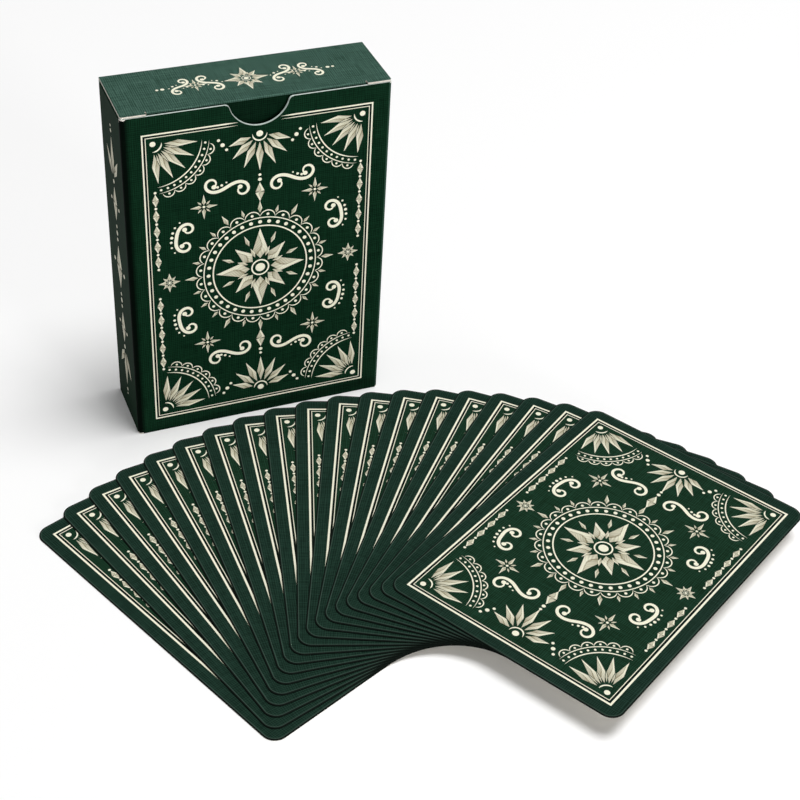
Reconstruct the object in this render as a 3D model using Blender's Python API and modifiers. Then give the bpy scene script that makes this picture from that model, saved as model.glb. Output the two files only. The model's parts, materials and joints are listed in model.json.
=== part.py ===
"""A deck of playing cards: a fan of cards on the table in front of their tuck case, the rest inside it.

Metres, +Z up. The case stands on the origin with its front towards -Y.
"""

import math

import bmesh
import bpy

# Cards, poker size.
CARD_WIDTH = 0.0635
CARD_LENGTH = 0.0889
CARD_THICKNESS = 0.0003
CARD_CORNER_RADIUS = 0.0035
CARD_AIR = 0.00005
FAN_CARDS = 19
BOXED_CARDS = 33

# The fan: turns are in degrees, seen from above, and the cards turn about a point beyond their near edge.
FAN_FIRST_TURN = 23.1
FAN_STEP = -4.6
FAN_PIVOT_REACH = 0.0199
FAN_PIVOT_X = 0.0045
FAN_CASE_CLEARANCE = 0.0032

# The case, folded from one thickness of board around the whole deck.
BOARD = 0.00045
FOLD_RADIUS = 0.0009
FOLD_GAP = 0.0001
SIDE_PLAY = 0.0013
DEPTH_PLAY = 0.0019
HEAD_ROOM = 0.0030
GLUE_FLAP_WIDTH = 0.012
NOTCH_WIDTH = 0.0150
NOTCH_DEPTH = 0.0064
NOTCH_SHOULDER_RADIUS = 0.0012

# The lid, its tuck tab and the flaps.
LID_INSET = 0.00015
LID_EAR_WIDTH = 0.0062
LID_CORNER_RADIUS = 0.0006
TAB_LENGTH = 0.0140
TAB_CORNER_RADIUS = 0.0050
TAB_LEAN = 5.0
TAB_SIDE_PLAY = 0.0003
TAB_FRONT_PLAY = 0.0004
TOP_FLAP_LENGTH = 0.0160
TOP_FLAP_FRONT_PLAY = 0.0030
TOP_FLAP_BACK_PLAY = 0.0008
TOP_FLAP_BACK_TAPER = 0.0045
TOP_FLAP_FRONT_TAPER = 0.0030
BOTTOM_FLAP_LENGTH = 0.0200
BOTTOM_FLAP_TAPER = 0.0020
FLAP_CORNER_RADIUS = 0.0025
BOTTOM_TAB_LENGTH = 0.0120

# How finely round corners are drawn.
CARD_CORNER_STEPS = 6
FOLD_STEPS = 4
CORNER_STEPS = 6
NOTCH_STEPS = 16
CUT_MARGIN = 0.001

# What follows from the sizes above.
CARD_PITCH = CARD_THICKNESS + CARD_AIR
STACK_DEPTH = (FAN_CARDS + BOXED_CARDS) * CARD_PITCH
CASE_WIDTH = CARD_WIDTH + 2 * (SIDE_PLAY + BOARD)
CASE_DEPTH = STACK_DEPTH + DEPTH_PLAY + 2 * BOARD
BOTTOM_FLAP_Z = BOARD + FOLD_GAP
CARD_FLOOR_Z = BOTTOM_FLAP_Z + BOARD + FOLD_GAP
TOP_FLAP_Z = CARD_FLOOR_Z + CARD_LENGTH + HEAD_ROOM
LID_Z = TOP_FLAP_Z + BOARD + FOLD_GAP
CASE_HEIGHT = LID_Z + BOARD
WALL_TOP_Z = LID_Z - FOLD_GAP
SIDE_TOP_Z = TOP_FLAP_Z - FOLD_GAP
OUTER_X = CASE_WIDTH / 2
OUTER_Y = CASE_DEPTH / 2
CORNER_PLAY = (1 - math.sqrt(0.5)) * (FOLD_RADIUS - BOARD) + FOLD_GAP
SEAM_X = OUTER_X - BOARD - FOLD_GAP
FLOOR_LEFT = OUTER_X - BOARD - CORNER_PLAY
FLOOR_RIGHT = SEAM_X - BOARD - CORNER_PLAY
FLOOR_Y = OUTER_Y - BOARD - CORNER_PLAY
TAB_AXIS_Y = -OUTER_Y + BOARD + TAB_FRONT_PLAY + BOARD
TAB_HALF_WIDTH = OUTER_X - LID_EAR_WIDTH
TAB_FOLD_RADIUS = 0.9 * BOARD
FAN_REACH = math.hypot(CARD_WIDTH / 2, FAN_PIVOT_REACH + CARD_LENGTH)
FAN_PIVOT_Y = -(OUTER_Y + FAN_CASE_CLEARANCE + FAN_REACH)

# Colours, as linear red, green and blue.
CASE_GREEN = (0.006, 0.026, 0.015)
CARD_GREEN = (0.014, 0.044, 0.031)
BOARD_WHITE = (0.72, 0.66, 0.56)


def clear_scene():
    for obj in list(bpy.data.objects):
        bpy.data.objects.remove(obj)


def collection(name):
    made = bpy.data.collections.new(name)
    bpy.context.scene.collection.children.link(made)
    return made


def material(name, colour, roughness):
    made = bpy.data.materials.new(name)
    made.use_nodes = True
    shader = made.node_tree.nodes["Principled BSDF"]
    shader.inputs["Base Color"].default_value = (*colour, 1)
    shader.inputs["Roughness"].default_value = roughness
    shader.inputs["Metallic"].default_value = 0
    return made


def add(name, data, place, paint=None, at=(0, 0, 0), turn=(0, 0, 0), parent=None):
    obj = bpy.data.objects.new(name, data)
    obj.location = at
    obj.rotation_euler = [math.radians(angle) for angle in turn]
    obj.parent = parent
    if paint:
        data.materials.clear()
        data.materials.append(paint)
    place.objects.link(obj)
    return obj


def arc(centre, radius, start, end, steps):
    """Points on a round stretch, from one angle in degrees to another."""
    angles = [math.radians(start + (end - start) * i / steps) for i in range(steps + 1)]
    return [(centre[0] + radius * math.cos(a), centre[1] + radius * math.sin(a)) for a in angles]


def rounded(corners, steps=CORNER_STEPS):
    """The points of an outline whose corners are (x, y, radius)."""
    points = []
    for index, (x, y, radius) in enumerate(corners):
        before = corners[index - 1]
        after = corners[(index + 1) % len(corners)]
        if radius == 0:
            points.append((x, y))
            continue
        to_before = math.atan2(before[1] - y, before[0] - x)
        to_after = math.atan2(after[1] - y, after[0] - x)
        opening = (to_after - to_before + math.pi) % (2 * math.pi) - math.pi
        half = opening / 2
        reach = radius / math.sin(abs(half))
        middle = to_before + half
        centre = (x + reach * math.cos(middle), y + reach * math.sin(middle))
        sweep = math.copysign(math.pi - abs(opening), -opening)
        start = middle + math.pi - sweep / 2
        points += arc(centre, radius, math.degrees(start), math.degrees(start + sweep), steps)
    return points


def flat_curve(name, points, thickness):
    """A filled flat outline, with its middle plane at local z = 0."""
    curve = bpy.data.curves.new(name, "CURVE")
    curve.dimensions = "2D"
    curve.fill_mode = "BOTH"
    curve.extrude = thickness / 2
    spline = curve.splines.new("POLY")
    spline.points.add(len(points) - 1)
    for point, (x, y) in zip(spline.points, points):
        point.co = (x, y, 0, 1)
    spline.use_cyclic_u = True
    return curve


def solid_mesh(curve):
    """The closed mesh of a curve, for use in a Boolean."""
    holder = bpy.data.objects.new(curve.name, curve)
    bpy.context.scene.collection.objects.link(holder)
    graph = bpy.context.evaluated_depsgraph_get()
    mesh = bpy.data.meshes.new_from_object(holder.evaluated_get(graph))
    bpy.data.objects.remove(holder)
    bm = bmesh.new()
    bm.from_mesh(mesh)
    bmesh.ops.remove_doubles(bm, verts=bm.verts, dist=1e-6)
    bmesh.ops.recalc_face_normals(bm, faces=bm.faces)
    bm.to_mesh(mesh)
    bm.free()
    return mesh


def block_mesh(name, low, high):
    bm = bmesh.new()
    bmesh.ops.create_cube(bm, size=1)
    bmesh.ops.scale(bm, vec=[b - a for a, b in zip(low, high)], verts=bm.verts)
    bmesh.ops.translate(bm, vec=[(a + b) / 2 for a, b in zip(low, high)], verts=bm.verts)
    mesh = bpy.data.meshes.new(name)
    bm.to_mesh(mesh)
    bm.free()
    return mesh


def strip_mesh(name, path, low, high):
    """An open strip: a path in local x and y, drawn out from low to high along z."""
    bm = bmesh.new()
    foot = [bm.verts.new((x, y, low)) for x, y in path]
    edges = [bm.edges.new(pair) for pair in zip(foot, foot[1:])]
    drawn = bmesh.ops.extrude_edge_only(bm, edges=edges)["geom"]
    top = [part for part in drawn if isinstance(part, bmesh.types.BMVert)]
    bmesh.ops.translate(bm, vec=(0, 0, high - low), verts=top)
    mesh = bpy.data.meshes.new(name)
    bm.to_mesh(mesh)
    bm.free()
    return mesh


def thicken(obj, offset):
    modifier = obj.modifiers.new("board", "SOLIDIFY")
    modifier.thickness = BOARD
    modifier.offset = offset
    modifier.use_even_offset = True


def cut(obj, cutter):
    cutter.hide_render = True
    cutter.display_type = "WIRE"
    modifier = obj.modifiers.new(cutter.name, "BOOLEAN")
    modifier.operation = "DIFFERENCE"
    modifier.solver = "EXACT"
    modifier.object = cutter


def round_edges(mesh, along, chosen, radius, steps):
    """Rounds the edges that run along one axis and whose middle passes the test."""
    bm = bmesh.new()
    bm.from_mesh(mesh)
    edges = []
    for edge in bm.edges:
        start, end = (vert.co for vert in edge.verts)
        runs_along = abs((end - start)[along]) > 0.999 * (end - start).length
        if runs_along and chosen((start + end) / 2):
            edges.append(edge)
    bmesh.ops.bevel(bm, geom=edges, offset=radius, segments=steps, affect="EDGES", profile=0.5)
    bm.to_mesh(mesh)
    bm.free()


def card_mesh(name, near_edge):
    """A card lying flat from local z = 0, with its near edge at y = near_edge."""
    low = (-CARD_WIDTH / 2, near_edge, 0)
    high = (CARD_WIDTH / 2, near_edge + CARD_LENGTH, CARD_THICKNESS)
    mesh = block_mesh(name, low, high)
    round_edges(mesh, 2, lambda middle: True, CARD_CORNER_RADIUS, CARD_CORNER_STEPS)
    return mesh


def sleeve_path():
    """The outer face of the case's strip: right side, front, left side, back, then the glue flap."""
    r = FOLD_RADIUS
    x = OUTER_X
    y = OUTER_Y
    path = [(x, y - LID_INSET)]
    path += arc((x - r, r - y), r, 0, -90, FOLD_STEPS)
    path += arc((r - x, r - y), r, 270, 180, FOLD_STEPS)
    path += arc((r - x, y - r), r, 180, 90, FOLD_STEPS)
    path += arc((SEAM_X - r, y - r), r, 90, 0, FOLD_STEPS)
    path.append((SEAM_X, y - GLUE_FLAP_WIDTH))
    return path


def notch_outline():
    """A half-moon with rounded shoulders, in the front's x and z."""
    top = WALL_TOP_Z
    shoulder = NOTCH_SHOULDER_RADIUS
    radius = (NOTCH_WIDTH**2 / 4 + NOTCH_DEPTH**2) / (2 * NOTCH_DEPTH)
    rise = radius - NOTCH_DEPTH
    spread = math.sqrt((radius + shoulder) ** 2 - (rise + shoulder) ** 2)
    lean = math.degrees(math.atan2(rise + shoulder, spread))
    outline = [(-spread, top + CUT_MARGIN)]
    outline += arc((-spread, top - shoulder), shoulder, 90, lean, FOLD_STEPS)
    outline += arc((0, top + rise), radius, 180 + lean, 360 - lean, NOTCH_STEPS)[1:-1]
    outline += arc((spread, top - shoulder), shoulder, 180 - lean, 90, FOLD_STEPS)
    outline.append((spread, top + CUT_MARGIN))
    return outline


def add_sleeve(parts, cutters, paint):
    sleeve = add("case_sleeve", strip_mesh("case_sleeve", sleeve_path(), 0, WALL_TOP_Z), parts, paint)
    thicken(sleeve, -1)
    notch = solid_mesh(flat_curve("thumb_notch", notch_outline(), 4 * BOARD))
    cut(sleeve, add("thumb_notch", notch, cutters, at=(0, -OUTER_Y + BOARD / 2, 0), turn=(90, 0, 0)))
    flat_end = OUTER_Y - FOLD_RADIUS
    for side, name in ((-1, "left_flap_fold"), (1, "right_flap_fold")):
        reach = sorted((side * (OUTER_X + CUT_MARGIN), side * (FLOOR_RIGHT - CUT_MARGIN)))
        low = (reach[0], -flat_end, SIDE_TOP_Z)
        high = (reach[1], flat_end, WALL_TOP_Z + CUT_MARGIN)
        cut(sleeve, add(name, block_mesh(name, low, high), cutters))


def add_bottom(parts, paint):
    bend = FOLD_RADIUS
    path = [(FLOOR_Y, 0)]
    path += arc((bend - FLOOR_Y, bend), bend, 270, 180, FOLD_STEPS)
    path.append((-FLOOR_Y, BOTTOM_TAB_LENGTH))
    mesh = strip_mesh("bottom_panel", path, -FLOOR_LEFT, FLOOR_RIGHT)
    panel = add("bottom_panel", mesh, parts, paint, turn=(90, 0, 90))
    thicken(panel, -1)
    front = -FLOOR_Y + BOARD + FOLD_GAP
    flaps = ((-1, "bottom_dust_flap_left", FLOOR_LEFT), (1, "bottom_dust_flap_right", FLOOR_RIGHT))
    for side, name, edge in flaps:
        tip = edge - BOTTOM_FLAP_LENGTH
        outline = rounded([
            (side * edge, front, 0),
            (side * edge, FLOOR_Y, 0),
            (side * tip, FLOOR_Y - BOTTOM_FLAP_TAPER, FLAP_CORNER_RADIUS),
            (side * tip, front + BOTTOM_FLAP_TAPER, FLAP_CORNER_RADIUS),
        ])
        add(name, flat_curve(name, outline, BOARD), parts, paint, at=(0, 0, BOTTOM_FLAP_Z + BOARD / 2))


def add_lid(parts, paint, root):
    """The lid and its tab turn with two empties on their creases."""
    lid_axis = add("lid_crease", None, parts, at=(0, OUTER_Y, LID_Z), parent=root)
    edge = OUTER_X - LID_INSET
    ear_front = LID_INSET - CASE_DEPTH
    tab_side = TAB_AXIS_Y + FOLD_GAP - OUTER_Y
    outline = rounded([
        (-edge, 0, 0),
        (-edge, ear_front, LID_CORNER_RADIUS),
        (-TAB_HALF_WIDTH, ear_front, 0),
        (-TAB_HALF_WIDTH, tab_side, 0),
        (TAB_HALF_WIDTH, tab_side, 0),
        (TAB_HALF_WIDTH, ear_front, 0),
        (edge, ear_front, LID_CORNER_RADIUS),
        (edge, 0, 0),
    ])
    curve = flat_curve("lid_panel", outline, BOARD)
    add("lid_panel", curve, parts, paint, at=(0, 0, BOARD / 2), parent=lid_axis)

    tab_at = (0, TAB_AXIS_Y - OUTER_Y, 0)
    tab_axis = add("tab_crease", None, parts, at=tab_at, turn=(TAB_LEAN, 0, 0), parent=lid_axis)
    half = TAB_HALF_WIDTH - TAB_SIDE_PLAY
    mesh = block_mesh("tuck_tab", (-half, -BOARD, -TAB_LENGTH), (half, 0, BOARD))
    round_edges(mesh, 1, lambda middle: middle.z < 0, TAB_CORNER_RADIUS, CORNER_STEPS)
    round_edges(mesh, 0, lambda middle: middle.z > 0 > middle.y, TAB_FOLD_RADIUS, FOLD_STEPS)
    add("tuck_tab", mesh, parts, paint, parent=tab_axis)


def add_top_flaps(parts, paint, root):
    front = -OUTER_Y + BOARD + TOP_FLAP_FRONT_PLAY
    back = OUTER_Y - FOLD_RADIUS - TOP_FLAP_BACK_PLAY
    for side, name in ((-1, "dust_flap_left"), (1, "dust_flap_right")):
        axis = add(name + "_crease", None, parts, at=(side * OUTER_X, 0, TOP_FLAP_Z), parent=root)
        outline = rounded([
            (-side * LID_INSET, front, 0),
            (-side * LID_INSET, back, 0),
            (-side * TOP_FLAP_LENGTH, back - TOP_FLAP_BACK_TAPER, FLAP_CORNER_RADIUS),
            (-side * TOP_FLAP_LENGTH, front + TOP_FLAP_FRONT_TAPER, FLAP_CORNER_RADIUS),
        ])
        add(name, flat_curve(name, outline, BOARD), parts, paint, at=(0, 0, BOARD / 2), parent=axis)


def add_cards(parts, paint, root):
    upright = card_mesh("boxed_card", 0)
    back = OUTER_Y - BOARD - CARD_AIR
    for number in range(1, BOXED_CARDS + 1):
        at = (0, back - (number - 1) * CARD_PITCH, CARD_FLOOR_Z)
        add(f"boxed_card_{number:02d}", upright, parts, paint, at=at, turn=(90, 0, 0), parent=root)

    pivot = add("fan_pivot", None, parts, at=(FAN_PIVOT_X, FAN_PIVOT_Y, 0))
    fanned = card_mesh("fan_card", FAN_PIVOT_REACH)
    for number in range(1, FAN_CARDS + 1):
        at = (0, 0, (number - 1) * CARD_PITCH)
        turn = (0, 0, FAN_FIRST_TURN + (number - 1) * FAN_STEP)
        add(f"fan_card_{number:02d}", fanned, parts, paint, at=at, turn=turn, parent=pivot)


def main():
    clear_scene()
    parts = collection("deck_of_playing_cards")
    cutters = collection("cutters")
    board = material("printed_board", CASE_GREEN, 0.5)
    inner_board = material("bare_board", BOARD_WHITE, 0.8)
    stock = material("card_stock", CARD_GREEN, 0.45)
    root = add("case_base", None, parts)
    add_sleeve(parts, cutters, board)
    add_bottom(parts, inner_board)
    add_lid(parts, board, root)
    add_top_flaps(parts, inner_board, root)
    add_cards(parts, stock, root)


main()
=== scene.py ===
# %% [markdown]
# # A deck of playing cards, dressed for its photograph
#
# The packed part is the fixed frame: a folded tuck case with a lid, a tab and flaps that turn on their
# creases, and nineteen cards fanned out on the table in front of it. The other thirty-three stand in the
# case. This lesson dresses that frame. Printed board and cards are thin sheets, so nearly everything here
# is one of three shapes: a sheet bent along a path, a flat sheet with a cut edge, and a line of ink.

import json
import math

import bpy
import numpy as np
from mathutils import Matrix, Vector


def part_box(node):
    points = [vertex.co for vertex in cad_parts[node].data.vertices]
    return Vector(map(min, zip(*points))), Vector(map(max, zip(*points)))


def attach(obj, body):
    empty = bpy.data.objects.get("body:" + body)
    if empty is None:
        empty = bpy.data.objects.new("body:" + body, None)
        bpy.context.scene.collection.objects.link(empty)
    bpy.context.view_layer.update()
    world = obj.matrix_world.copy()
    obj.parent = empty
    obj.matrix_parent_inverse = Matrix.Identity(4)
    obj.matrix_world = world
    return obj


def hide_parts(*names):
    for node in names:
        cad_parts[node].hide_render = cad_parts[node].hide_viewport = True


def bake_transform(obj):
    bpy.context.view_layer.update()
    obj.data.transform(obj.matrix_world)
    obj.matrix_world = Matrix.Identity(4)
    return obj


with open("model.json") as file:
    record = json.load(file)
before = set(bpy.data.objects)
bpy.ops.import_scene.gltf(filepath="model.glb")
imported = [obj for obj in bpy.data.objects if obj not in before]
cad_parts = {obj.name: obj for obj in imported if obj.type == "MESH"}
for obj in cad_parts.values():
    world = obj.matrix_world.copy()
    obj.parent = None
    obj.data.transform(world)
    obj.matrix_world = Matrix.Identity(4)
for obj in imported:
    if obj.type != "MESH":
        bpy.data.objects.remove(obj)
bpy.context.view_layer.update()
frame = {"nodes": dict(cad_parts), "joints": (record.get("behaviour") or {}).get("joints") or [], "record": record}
MM = 0.001

# %% [markdown]
# ## The camera
#
# The photograph looks down on the deck from the left, through a longish lens. Three angles and a place
# say all of that. Building the camera's axes as vectors keeps the order of the turns plain, which three
# Euler angles would not.

# %% Camera
CAMERA_AT = np.array([-105.8, -344.3, 284.3]) * MM
CAMERA_YAW = math.radians(23.7)
CAMERA_PITCH = math.radians(38.6)
CAMERA_ROLL = math.radians(3.6)
LENS_MM = 75.0
SENSOR_MM = 36.0
NEAREST = 0.01


def camera_axes(yaw, pitch, roll):
    """Right, up and forward: forward is +Y turned by yaw and dipped by pitch, and roll turns the others."""
    forward = np.array([math.sin(yaw) * math.cos(pitch), math.cos(yaw) * math.cos(pitch), -math.sin(pitch)])
    level = np.array([math.cos(yaw), -math.sin(yaw), 0.0])
    upright = np.cross(level, forward)
    right = math.cos(roll) * level + math.sin(roll) * upright
    up = math.cos(roll) * upright - math.sin(roll) * level
    return right, up, forward


def add_camera():
    """The camera, its matrix made of its three axes and its place."""
    data = bpy.data.cameras.new("camera")
    data.lens = LENS_MM
    data.sensor_width = SENSOR_MM
    data.clip_start = NEAREST
    camera = bpy.data.objects.new("camera", data)
    right, up, forward = camera_axes(CAMERA_YAW, CAMERA_PITCH, CAMERA_ROLL)
    matrix = np.eye(4)
    matrix[:3, :4] = np.stack([right, up, -forward, CAMERA_AT], axis=1)
    camera.matrix_world = Matrix(matrix.tolist())
    bpy.context.scene.collection.objects.link(camera)
    bpy.context.scene.camera = camera


add_camera()
print("camera at, mm:", (CAMERA_AT / MM).round(1))

# %% [markdown]
# ## Sums in a shader
#
# A finish is a sum over the surface: so much thread, so much wear, so much shade. Written with nodes, each
# plus and times is a box and two wires. The small class below stands for one output of a node, and adds
# the Math nodes when it meets an operator. Every other kind of node comes from one method.


# %% Shader sums
class Signal:
    """One output of a shader node, which can be added, multiplied and so on."""

    def __init__(self, finish, socket):
        self.finish = finish
        self.socket = socket

    def other(self, index):
        """Another output of the same node."""
        return Signal(self.finish, self.socket.node.outputs[index])

    def math(self, operation, *values):
        return self.finish.node("ShaderNodeMath", {"operation": operation}, dict(enumerate(values)))

    def __add__(self, value):
        return self.math("ADD", self, value)

    __radd__ = __add__

    def __sub__(self, value):
        return self.math("SUBTRACT", self, value)

    def __rsub__(self, value):
        return self.math("SUBTRACT", value, self)

    def __mul__(self, value):
        return self.math("MULTIPLY", self, value)

    __rmul__ = __mul__

    def __truediv__(self, value):
        return self.math("DIVIDE", self, value)

    def __abs__(self):
        return self.math("ABSOLUTE", self)

    def most(self, value):
        return self.math("MAXIMUM", self, value)

    def least(self, value):
        return self.math("MINIMUM", self, value)

    def sine(self):
        return self.math("SINE", self)

    def root(self):
        return self.math("SQRT", self)

    def rise(self, low, high):
        """0 below low, 1 above high, and a soft slope between them."""
        inputs = {"Value": self, "From Min": low, "From Max": high}
        return self.finish.node("ShaderNodeMapRange", {"interpolation_type": "SMOOTHSTEP"}, inputs)


print("a signal also has:", [name for name in vars(Signal) if not name.startswith("_")])


# %% A finish and its nodes
class Finish:
    """A material: one Principled shader, and the nodes that feed it."""

    def __init__(self, name, **sockets):
        self.material = bpy.data.materials.new(name)
        self.material.use_nodes = True
        self.tree = self.material.node_tree
        self.shader = self.tree.nodes["Principled BSDF"]
        for socket, value in sockets.items():
            self.shader.inputs[socket.replace("_", " ")].default_value = value

    def node(self, kind, settings, inputs, output=0):
        """A node of this kind: its settings first, then the value or link of each socket."""
        made = self.tree.nodes.new(kind)
        for name, value in settings.items():
            setattr(made, name, value)
        for key, value in inputs.items():
            self.feed(made.inputs[key], value)
        return Signal(self, made.outputs[output])

    def feed(self, socket, value):
        if isinstance(value, Signal):
            self.tree.links.new(value.socket, socket)
        else:
            socket.default_value = value

    def set(self, **sockets):
        """Links or values for the Principled shader itself."""
        for socket, value in sockets.items():
            self.feed(self.shader.inputs[socket.replace("_", " ")], value)

    def uv(self, name):
        """The two numbers of one of the piece's own maps."""
        flat = self.node("ShaderNodeUVMap", {"uv_map": name}, {})
        across = self.node("ShaderNodeSeparateXYZ", {}, {0: flat})
        return across, across.other(1)

    def place(self):
        """Where the point is on an object that has no map of its own, in millimetres."""
        here = self.node("ShaderNodeTexCoord", {}, {}, output=3)
        across = self.node("ShaderNodeSeparateXYZ", {}, {0: here})
        return across / MM, across.other(1) / MM, across.other(2) / MM

    def noise(self, x, y):
        """Soft random values from 0 to 1, about one change for each unit of x and of y."""
        at = self.node("ShaderNodeCombineXYZ", {}, {0: x, 1: y})
        inputs = {"Vector": at, "Scale": 1.0, "Detail": 2.0}
        return self.node("ShaderNodeTexNoise", {"noise_dimensions": "2D"}, inputs)

    def tint(self, share, first, second):
        """A colour between two, by a share from 0 to 1."""
        inputs = {0: share, 6: first, 7: second}
        return self.node("ShaderNodeMix", {"data_type": "RGBA"}, inputs, output=2)

    def bump(self, height, distance, strength):
        """Normals tilted as if the surface rose by this distance, in metres, where the height is 1."""
        inputs = {"Height": height, "Distance": distance, "Strength": strength}
        return self.node("ShaderNodeBump", {}, inputs)


def colour(code):
    """Linear red, green, blue and alpha of a colour written as on a paint chart, such as 1f3b31."""
    parts = np.array([int(code[i:i + 2], 16) for i in (0, 2, 4)]) / 255
    linear = np.where(parts <= 0.04045, parts / 12.92, ((parts + 0.055) / 1.055) ** 2.4)
    return (*linear.tolist(), 1.0)


print("paint chart check, mid grey:", round(colour("808080")[0], 3))

# %% [markdown]
# ## Linen-embossed green board and card
#
# Good cards and their case are pressed between linen-grained rollers, so that a hair-fine weave crosses the
# ink. An image of linen would blur close up, so the weave is worked out: two waves at right angles give the
# rollers' grain, and two noises, each stretched far along one direction, give the threads that come and go
# on top of it. The threads lift the surface by a few hundredths of a millimetre. The stock is matt, so its
# shader reflects less than a varnish would.

# %% Linen and printed board
GRAIN_MM = 0.52
THREAD_MM = 0.3
THREAD_RUN_MM = 7.0
WANDER_MM = 1.1
WANDER = 5.0
APART = 40.0
GRAIN_SHARE = 0.13
THREAD_SHARE = 0.5
CLOUD_MM = 30.0
CLOUD_SHARE = 0.2
FRAY_MM = 0.5
FOOT_WEAR = (0.1, 0.9)
HEAD_WEAR = (92.7, 93.4)
BOARD_LIFT = 0.00005
PAPER_IOR = 1.46


def linen(finish, u, v):
    """The grain: a wave across u, one across v, each out of step along its run, and loose threads."""
    wander_u = finish.noise(u / WANDER_MM, v / THREAD_RUN_MM)
    wander_v = finish.noise(u / THREAD_RUN_MM + APART, v / WANDER_MM)
    wave = math.tau / GRAIN_MM
    warp = (u * wave + wander_u * WANDER).sine()
    weft = (v * wave + wander_v * WANDER).sine()
    threads = finish.noise(u / THREAD_MM, v / THREAD_RUN_MM)
    threads = threads + finish.noise(u / THREAD_RUN_MM, v / THREAD_MM)
    return (warp + weft) * GRAIN_SHARE + threads * THREAD_SHARE


def clouded(finish, u, v, threads):
    """A tone from 0 to 1: mostly threads, and a little of a wide soft cloud."""
    return threads * (1 - CLOUD_SHARE) + finish.noise(u / CLOUD_MM, v / CLOUD_MM) * CLOUD_SHARE


def green_board(name, deep, pale, roughness, gloss):
    """Printed case board: linen green, with painted shade over a fold marked 1, a painted highlight on the crest
    of a fold marked -1, and pale cut board at the notch.
    """
    finish = Finish(name, IOR=PAPER_IOR, Specular_IOR_Level=gloss)
    u, v = finish.uv("panel")
    weave = linen(finish, u, v)
    fold = finish.node("ShaderNodeAttribute", {"attribute_name": "fold"}, {}, output=2)
    edge = finish.node("ShaderNodeAttribute", {"attribute_name": "edge"}, {}, output=2)
    tone = clouded(finish, u, v, weave.rise(0.32, 0.68))
    green = finish.tint(tone, colour(deep), colour(pale))
    # The fold mark paints shade into the colour over a fold that faces away from the light, and a pale highlight
    # over the crest of a fold that faces it.
    painted_fold_shade = finish.tint(fold.most(0.0) * 0.94, green, colour("010503"))
    shaded = finish.tint((0 - fold).rise(0.1, 0.6) * 0.5, painted_fold_shade, colour("3f5c4f"))
    fray = finish.noise(u / FRAY_MM, v / FRAY_MM)
    end = (1 - v.rise(*FOOT_WEAR)).most(v.rise(*HEAD_WEAR)) * abs(fold)
    worn = (end * 1.4 + fray).rise(1.35, 1.6)
    rimmed = finish.tint(edge.rise(0.82, 0.92) * 0.8, shaded, colour("c3d0c9"))
    finish.set(Base_Color=finish.tint(worn, rimmed, colour("e6e2d8")))
    finish.set(Roughness=roughness + weave * 0.16, Normal=finish.bump(weave, BOARD_LIFT, 0.6))
    return finish.material


case_print = green_board("case_print", "041a0e", "103320", 0.55, 0.02)
# The tab is a darker copy of the case board: painted shade, where the lid shades it in the notch.
tab_print = green_board("tab_print", "03150b", "0b2718", 0.55, 0.02)
# The lid is a paler, greyer copy of the case board: a painted sheen, as if it reflected the bright room above it.
lid_print = green_board("lid_print", "153428", "4b6b5f", 0.5, 0.12)
print("printed board:", case_print.name, tab_print.name, lid_print.name)

# %% [markdown]
# ## The card's three finishes
#
# A card is printed on both sides, coated, and cut, and its edge here is dyed dark. On the back, a dark rim along
# the edge is partly that dye and partly painted shade where cards lie on one another, and a paler line inside it
# is a painted highlight where the softened edge would catch the light. A finish can find them by itself: the
# distance from a rounded outline is plain arithmetic on the card's own map, so no second map is needed.

# %% Card finishes
CARD_HALF_X = 31.75
CARD_HALF_Y = 44.45
CARD_ROUND = 3.5
CARD_FRAME_X = 28.2
CARD_FRAME_Y = 40.9
MARGIN_GAP = 0.2
MARGIN_SOFT = 0.4
PAINTED_HIGHLIGHT_RIM = (0.42, 0.62)
DARK_RIM_AND_SHADE = (0.26, 0.4)
EDGE_FIBRE_MM = 0.25
STOCK_LIFT = 0.00004


def card_back():
    """The coated back: linen green, a paler margin outside the frame, a dark rim of dye and painted shade, and a
    painted highlight line inside it.

    The distance from the edge is the corner radius, less the distance past the corners' middles.
    """
    finish = Finish("card_back", IOR=PAPER_IOR, Specular_IOR_Level=0.05)
    u, v = finish.uv("panel")
    weave = linen(finish, u, v)
    margin = (abs(u) - CARD_FRAME_X).most(abs(v) - CARD_FRAME_Y) - MARGIN_GAP
    margin = margin.rise(-MARGIN_SOFT, MARGIN_SOFT)
    tone = clouded(finish, u, v, weave.rise(0.28, 0.72))
    inner = finish.tint(tone, colour("09200f"), colour("1e3f2e"))
    outer = finish.tint(tone, colour("0b1e16"), colour("223c31"))
    over_u = abs(u) - (CARD_HALF_X - CARD_ROUND)
    over_v = abs(v) - (CARD_HALF_Y - CARD_ROUND)
    round_off = (over_u.most(0.0) * over_u.most(0.0) + over_v.most(0.0) * over_v.most(0.0)).root()
    from_edge = CARD_ROUND - round_off - over_u.most(over_v).least(0.0)
    # Painted highlight: a paler line just inside the edge. Dark rim: the dyed edge, widened with painted shade
    # between stacked cards.
    painted_highlight_rim = (1 - from_edge.rise(*PAINTED_HIGHLIGHT_RIM)) * 0.24
    dark_rim_and_painted_shade = (1 - from_edge.rise(*DARK_RIM_AND_SHADE)) * 0.92
    face = finish.tint(painted_highlight_rim, finish.tint(margin, inner, outer), colour("64796e"))
    finish.set(Base_Color=finish.tint(dark_rim_and_painted_shade, face, colour("050a07")))
    finish.set(Roughness=0.5 + weave * 0.2, Normal=finish.bump(weave, STOCK_LIFT, 0.6))
    return finish.material


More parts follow.
